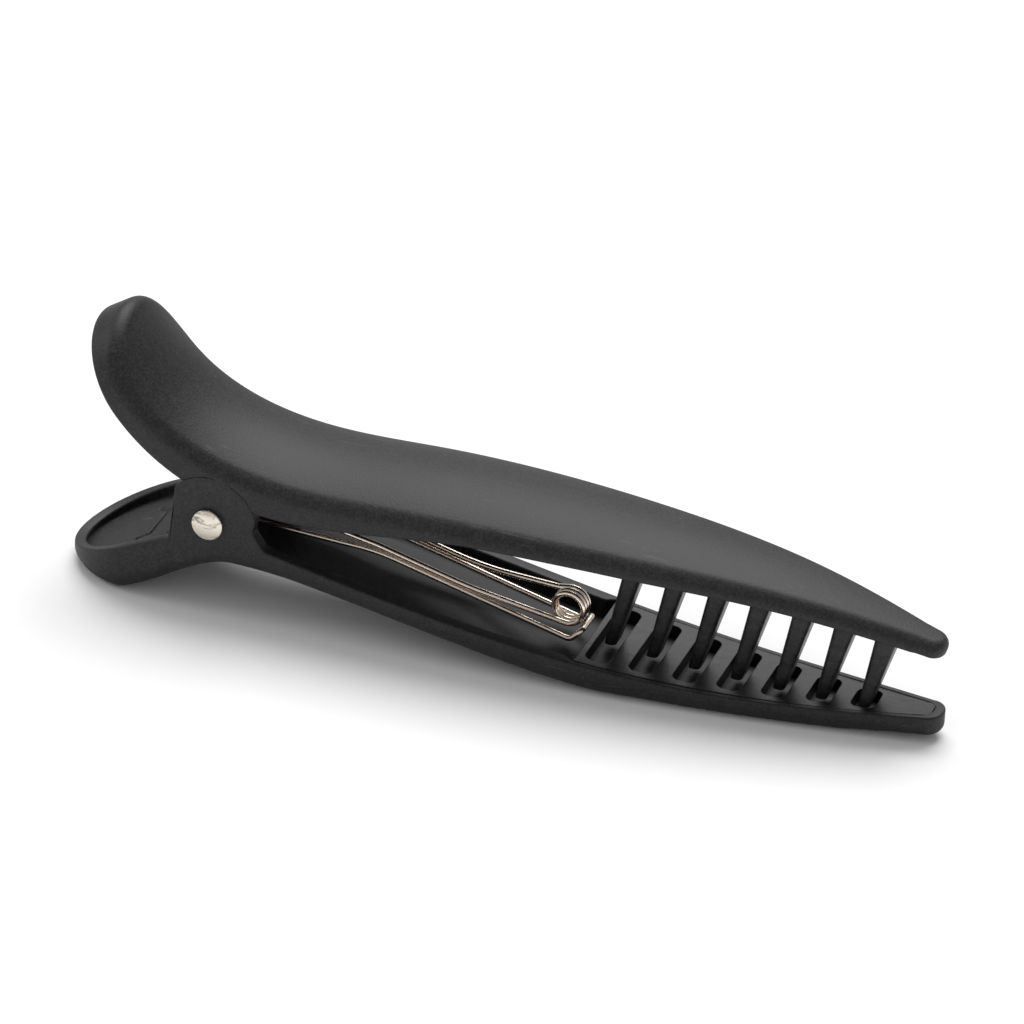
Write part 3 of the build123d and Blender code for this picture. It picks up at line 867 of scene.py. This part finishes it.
@dataclass
class Bench:
    """Adds nodes to one shader tree and feeds their inputs."""

    tree: bpy.types.NodeTree

    def add(self, kind: str, inputs: dict | None = None, **settings: object) -> bpy.types.Node:
        """Adds a node.

        Args:
            kind: the node's type name.
            inputs: values or sockets by input name or index.
            settings: the node's own options.
        Returns:
            The new node.
        """
        node = self.tree.nodes.new(kind)
        for key, value in settings.items():
            setattr(node, key, value)
        self.feed(node, inputs or {})
        return node

    def feed(self, node: bpy.types.Node, inputs: dict) -> None:
        """Links a node's inputs to sockets, or sets them to values."""
        for key, value in inputs.items():
            if isinstance(value, Socket):
                self.tree.links.new(value, node.inputs[key])
            else:
                node.inputs[key].default_value = value

    def calc(self, operation: str, first: object, second: object = 0.5, third: object = 0.5,
             clamp: bool = False) -> Socket:
        """Result of one arithmetic step."""
        terms = {0: first, 1: second, 2: third}
        return self.add("ShaderNodeMath", terms, operation=operation, use_clamp=clamp).outputs[0]

    def blend(self, share: object, first: object, second: object) -> Socket:
        """Mix of two colours."""
        node = self.add("ShaderNodeMix", {0: share, 6: first, 7: second}, data_type="RGBA")
        return node.outputs[2]

    def remap(self, value: object, low: float, high: float, out_low: float, out_high: float) -> Socket:
        """Value moved from one span to another, held inside it."""
        node = self.add("ShaderNodeMapRange", {0: value, 1: low, 2: high, 3: out_low, 4: out_high})
        return node.outputs[0]

    def noise(self, place: object, scale: float, detail: float = 3.0, rough: float = 0.55,
              bend: float = 0.0) -> Socket:
        """Fractal noise from 0 to 1, with features about 1/scale metres across."""
        look = {"Vector": place, "Scale": scale, "Detail": detail, "Roughness": rough, "Distortion": bend}
        return self.add("ShaderNodeTexNoise", look).outputs["Fac"]

    def stretched(self, place: object, scale: Spot, turn: Spot = (0, 0, 0)) -> Socket:
        """Coordinates turned and stretched."""
        node = self.add("ShaderNodeMapping", {"Vector": place, "Scale": scale, "Rotation": turn})
        return node.outputs[0]

    def object_place(self) -> Socket:
        """Object coordinates, in metres."""
        return self.add("ShaderNodeTexCoord").outputs["Object"]

    def finish(self, shader: bpy.types.Node) -> None:
        """Joins a shader to the material's surface."""
        self.add("ShaderNodeOutputMaterial", {0: shader.outputs[0]})


def new_material(name: str) -> tuple[bpy.types.Material, Bench]:
    """Empty material and the bench that fills it."""
    material = bpy.data.materials.new(name)
    material.use_nodes = True
    material.node_tree.nodes.clear()
    return material, Bench(material.node_tree)


def new_group(name: str, inputs: dict[str, float], outputs: dict[str, str]) -> tuple[Bench, object, object]:
    """Empty node group with named inputs (floats) and outputs (socket types)."""
    tree = bpy.data.node_groups.new(name, "ShaderNodeTree")
    for label, value in inputs.items():
        tree.interface.new_socket(label, in_out="INPUT", socket_type="NodeSocketFloat").default_value = value
    for label, kind in outputs.items():
        tree.interface.new_socket(label, in_out="OUTPUT", socket_type=kind)
    bench = Bench(tree)
    return bench, bench.add("NodeGroupInput"), bench.add("NodeGroupOutput")


@dataclass(frozen=True)
class Effects:
    """Effects that several finishes share."""

    edges: bpy.types.NodeTree
    grain: bpy.types.NodeTree
    marks: bpy.types.NodeTree


def make_effects() -> Effects:
    """Makes the shared groups: softened edges, moulded grain and handling marks."""
    bench, given, out = new_group("softened_edges", {"Radius": 0.0002},
                                  {"Normal": "NodeSocketVector", "Edge": "NodeSocketFloat"})
    bevel = bench.add("ShaderNodeBevel", {"Radius": given.outputs["Radius"]}, samples=6)
    plain = bench.add("ShaderNodeNewGeometry")
    pair = {0: bevel.outputs[0], 1: plain.outputs["Normal"]}
    dot = bench.add("ShaderNodeVectorMath", pair, operation="DOT_PRODUCT")
    # Edge mask: where the bevel's normal turns away from the plain one. The plastic uses it to paint a
    # highlight along the edges, together with edge wear.
    edge = bench.remap(dot.outputs["Value"], 0.995, 0.86, 0.0, 1.0)
    bench.feed(out, {"Normal": bevel.outputs[0], "Edge": edge})
    edges = bench.tree

    bench, given, out = new_group("moulded_grain", {"Fineness": 3600.0},
                                  {"Height": "NodeSocketFloat", "Speckle": "NodeSocketFloat"})
    place = bench.object_place()
    pits = bench.add("ShaderNodeTexVoronoi", {"Vector": place, "Scale": given.outputs["Fineness"]},
                     feature="SMOOTH_F1")
    fine = bench.add("ShaderNodeTexNoise",
                     {"Vector": place, "Scale": given.outputs["Fineness"], "Detail": 2.0})
    share = bench.calc("MULTIPLY", fine.outputs["Fac"], 0.6)
    height = bench.calc("MULTIPLY_ADD", pits.outputs["Distance"], 0.6, share)
    coarse = bench.noise(place, 900.0, 2.0)
    raw = bench.calc("MULTIPLY_ADD", coarse, 0.35, fine.outputs["Fac"])
    bench.feed(out, {"Height": height, "Speckle": bench.remap(raw, 0.55, 0.95, 0.0, 1.0)})
    grain = bench.tree

    bench, given, out = new_group("handling_marks", {"Amount": 0.5}, {"Scratch": "NodeSocketFloat",
                                                                     "Cloud": "NodeSocketFloat"})
    place = bench.object_place()
    long_way = bench.stretched(place, (90.0, 1700.0, 1700.0), (0.2, 0.25, 0.5))
    lines = bench.noise(long_way, 1.0, 2.0, 0.5, 0.4)
    patches = bench.noise(place, 160.0, 2.0)
    thin = bench.remap(lines, 0.66, 0.72, 0.0, 1.0)
    kept = bench.calc("MULTIPLY", thin, bench.remap(patches, 0.5, 0.62, 0.0, 1.0))
    bench.feed(out, {"Scratch": bench.calc("MULTIPLY", kept, given.outputs["Amount"]),
                     "Cloud": bench.noise(place, 45.0, 3.0)})
    return Effects(edges, grain, bench.tree)


@dataclass(frozen=True)
class PlasticFinish:
    """Black moulded plastic.

    Attributes:
        name: the material's name.
        dark: base colour of the plain surface.
        light: colour of raised grain and of softened edges, where it stands for a painted highlight along with
            edge wear.
        edge_light: how far the edges turn to the light colour, as painted highlight along with edge wear, from
            0 to 1.
        rough: roughness of the plain surface.
        grain: fineness of the moulded grain, in cells per metre.
        depth: height of the grain, in metres.
        flow: strength of the moulding's flow marks, from 0 to 1.
        edge_radius: rounding of its edges, in metres.
    """

    name: str
    dark: Colour
    light: Colour
    edge_light: float
    rough: float
    grain: float
    depth: float
    flow: float
    edge_radius: float

    def build(self, effects: Effects) -> bpy.types.Material:
        """Makes the material."""
        material, bench = new_material(self.name)
        edges = bench.add("ShaderNodeGroup", {"Radius": self.edge_radius}, node_tree=effects.edges)
        grain = bench.add("ShaderNodeGroup", {"Fineness": self.grain}, node_tree=effects.grain)
        marks = bench.add("ShaderNodeGroup", {"Amount": 0.6}, node_tree=effects.marks)
        place = bench.object_place()
        swirl = bench.noise(bench.stretched(place, (140.0, 420.0, 420.0), (0, 0, 0.3)), 1.0, 4.0, 0.6, 1.6)
        speck = bench.calc("MULTIPLY", grain.outputs["Speckle"], 0.55)
        # Every softened edge turns towards the light colour. This is a painted edge highlight together with
        # edge wear, and it is carried on through the marks and flow streaks into the colour mix.
        edge_wear_and_highlight = bench.calc("MULTIPLY_ADD", edges.outputs["Edge"], self.edge_light, speck)
        cloud_wear_and_highlight = bench.calc("MULTIPLY_ADD", marks.outputs["Cloud"], 0.25, edge_wear_and_highlight)
        marks_wear_and_highlight = bench.calc("ADD", cloud_wear_and_highlight, marks.outputs["Scratch"], clamp=True)
        streaks = bench.remap(swirl, 0.45, 0.75, 0.0, 1.0)
        pale_share_with_highlight = bench.calc("MULTIPLY_ADD", streaks, self.flow * 0.5, marks_wear_and_highlight)
        colour = bench.blend(bench.calc("MINIMUM", pale_share_with_highlight, 1.0), self.dark, self.light)
        rough_low = bench.calc("MULTIPLY_ADD", swirl, 0.3 * self.flow, self.rough - 0.15 * self.flow)
        rough = bench.calc("MULTIPLY_ADD", grain.outputs["Speckle"], 0.08, rough_low)
        ripple = bench.calc("MULTIPLY_ADD", swirl, 1.5 * self.flow, grain.outputs["Height"])
        bump = bench.add("ShaderNodeBump", {"Strength": 1.0, "Distance": self.depth, "Height": ripple,
                                            "Normal": edges.outputs["Normal"]})
        shader = bench.add("ShaderNodeBsdfPrincipled", {"Base Color": colour, "Roughness": rough,
                                                        "IOR": 1.36, "Normal": bump.outputs[0]})
        bench.finish(shader)
        return material


@dataclass(frozen=True)
class MetalFinish:
    """Plated or drawn metal.

    Attributes:
        name: the material's name.
        colour: reflected colour.
        stain: colour of darker smudges.
        rough: roughness between the marks.
        streak: stretch of the drawing marks along the wire, per metre across.
        smudge: share of the surface that is smudged.
    """

    name: str
    colour: Colour
    stain: Colour
    rough: float
    streak: float
    smudge: float

    def build(self, effects: Effects) -> bpy.types.Material:
        """Makes the material."""
        material, bench = new_material(self.name)
        marks = bench.add("ShaderNodeGroup", {"Amount": 1.0}, node_tree=effects.marks)
        place = bench.object_place()
        drawn = bench.noise(bench.stretched(place, (60.0, self.streak, self.streak)), 1.0, 3.0, 0.6, 0.3)
        patch = bench.noise(bench.stretched(place, (380.0, 500.0, 1500.0), (0, 0.6, 0)), 1.0, 3.0, 0.6, 0.8)
        smudge = bench.remap(patch, 0.62 - 0.1 * self.smudge, 0.74 - 0.1 * self.smudge, 0.0, 0.75)
        dirty = bench.calc("MAXIMUM", smudge, bench.calc("MULTIPLY", marks.outputs["Scratch"], 0.8))
        colour = bench.blend(dirty, self.colour, self.stain)
        rough = bench.calc("MULTIPLY_ADD", drawn, 0.18, self.rough - 0.07)
        rough = bench.calc("MULTIPLY_ADD", dirty, 0.2, rough)
        bump = bench.add("ShaderNodeBump", {"Strength": 0.5, "Distance": 0.000006, "Height": drawn})
        shader = bench.add("ShaderNodeBsdfPrincipled", {"Base Color": colour, "Metallic": 1.0,
                                                        "Roughness": rough, "Normal": bump.outputs[0]})
        bench.finish(shader)
        return material


class Finish(Enum):
    """The clip's finishes."""

    JAW = PlasticFinish("moulded_jaw_black", (0.0050, 0.0050, 0.0056, 1), (0.040, 0.040, 0.043, 1),
                        0.5, 0.50, 3400.0, 0.000030, 0.0, 0.00022)
    COMB = PlasticFinish("moulded_comb_black", (0.0042, 0.0042, 0.0047, 1), (0.032, 0.032, 0.035, 1),
                         0.1, 0.36, 2600.0, 0.000016, 1.0, 0.00018)
    NICKEL = MetalFinish("nickel_plate", (0.64, 0.585, 0.51, 1), (0.16, 0.14, 0.12, 1), 0.22, 1400.0, 0.9)
    SPRING = MetalFinish("spring_wire", (0.50, 0.47, 0.43, 1), (0.22, 0.20, 0.18, 1), 0.3, 2600.0, 0.3)
    THROAT = MetalFinish("throat_wire", (0.86, 0.74, 0.64, 1), (0.36, 0.26, 0.20, 1), 0.18, 2600.0, -0.6)


def dress(piece: bpy.types.Object, material: bpy.types.Material) -> None:
    """Gives every material slot of a piece the same finish."""
    if not piece.data.materials:
        piece.data.materials.append(material)
    for index in range(len(piece.data.materials)):
        piece.data.materials[index] = material


# ---------------------------------------------------------------- studio


@dataclass(frozen=True)
class Studio:
    """Pale table, soft lights and the camera.

    Attributes:
        azimuth: compass angle of the view, in degrees; 0 looks along +Y.
        elevation: angle of the view above the table, in degrees.
        roll: turn of the camera about its own axis, in degrees.
        distance: distance from the clip's middle to the camera, in metres.
        lens: focal length for the sensor's width, in millimetres.
        sensor: width of the camera's sensor, in millimetres.
        surround: brightness of the room round the clip.
        table_half: half the table's width, in metres.
    """

    azimuth: float = 18.4
    elevation: float = 29.5
    roll: float = 3.2
    distance: float = 1.045
    lens: float = 298.0
    sensor: float = 36.0
    surround: float = 0.42
    table_half: float = 6.0

    def table(self) -> None:
        """Lays the pale table, larger than anything that the views can see."""
        half = self.table_half
        corners = [(-half, -half, 0), (half, -half, 0), (half, half, 0), (-half, half, 0)]
        mesh = bpy.data.meshes.new("table_top")
        mesh.from_pydata(corners, [], [(0, 1, 2, 3)])
        top = bpy.data.objects.new("table_top", mesh)
        bpy.context.scene.collection.objects.link(top)
        material, bench = new_material("pale_table")
        tone = bench.noise(bench.object_place(), 9.0, 2.0)
        colour = bench.blend(tone, (0.90, 0.90, 0.90, 1), (0.93, 0.93, 0.93, 1))
        shader = bench.add("ShaderNodeBsdfDiffuse", {"Color": colour, "Roughness": 0.4})
        bench.finish(shader)
        top.data.materials.append(material)

    def lamp(self, name: str, side: Spot, spread: float, strength: float) -> None:
        """Adds one distant soft light.

        Args:
            name: the light's name.
            side: direction from the clip to the light.
            spread: angle that the light fills, in degrees.
            strength: light that falls square on a surface.
        """
        light = bpy.data.lights.new(name, "SUN")
        light.angle, light.energy = math.radians(spread), strength
        lamp = bpy.data.objects.new(name, light)
        lamp.location = side
        lamp.rotation_euler = (-Vector(side)).to_track_quat("-Z", "Y").to_euler()
        bpy.context.scene.collection.objects.link(lamp)

    def build(self, middle: Array) -> None:
        """Sets the table, the lights, the surroundings and the camera round the clip's middle."""
        self.table()
        self.lamp("soft_top", (-0.10, 0.45, 0.80), 50.0, 3.3)
        self.lamp("soft_left", (-0.85, -0.10, 0.45), 24.0, 0.6)
        scene = bpy.context.scene
        world = bpy.data.worlds.new("bright_room")
        scene.world = world
        world.use_nodes = True
        glow = world.node_tree.nodes["Background"]
        glow.inputs["Color"].default_value = (1.0, 1.0, 1.0, 1)
        glow.inputs["Strength"].default_value = self.surround
        scene.view_settings.view_transform = "Standard"
        camera = bpy.data.cameras.new("view")
        camera.lens, camera.sensor_width = self.lens, self.sensor
        camera.clip_start, camera.clip_end = 0.05, 30.0
        turn, lift = math.radians(self.azimuth), math.radians(self.elevation)
        away = Vector((math.sin(turn) * math.cos(lift), -math.cos(turn) * math.cos(lift), math.sin(lift)))
        holder = bpy.data.objects.new("view", camera)
        holder.location = Vector(middle.tolist()) + away * self.distance
        level = (-away).to_track_quat("-Z", "Y")
        holder.rotation_euler = (level @ Euler((0, 0, math.radians(self.roll))).to_quaternion()).to_euler()
        scene.collection.objects.link(holder)
        scene.camera = holder


def rivet_home() -> Home:
    """Reads where the rivet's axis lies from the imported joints."""
    for joint in frame["record"]["behaviour"]["joints"]:
        if joint["name"] == "jaw_open":
            x, y, z = joint["pos_m"]
            return Home((x, y, z))
    raise LookupError("the record has no jaw_open joint")


def main() -> None:
    """Builds the clip and its studio, in order."""
    logging.basicConfig(level=logging.INFO, format="%(message)s")
    lines, home = ClipLines(), rivet_home()
    effects = make_effects()
    finishes = {finish: finish.value.build(effects) for finish in Finish}

    cover = UpperCover(lines, home).build()
    dress(cover, finishes[Finish.JAW])
    for piece in Rivet(lines, home).build():
        dress(piece, finishes[Finish.NICKEL])
    dress(TorsionSpring(home).build(), finishes[Finish.SPRING])
    dress(ThroatSpring(home).build(), finishes[Finish.THROAT])
    dress(LowerJaw(lines, home).build(), finishes[Finish.JAW])
    for node in ("lower_comb", "upper_comb"):
        dress(frame["nodes"][node], finishes[Finish.COMB])
        LOG.info("%s: the frame's own mesh", node)

    low, high = (np.array(corner) for corner in CAD_BOX)
    Studio().build((low + high) / 2)


if __name__ == "__main__":
    main()
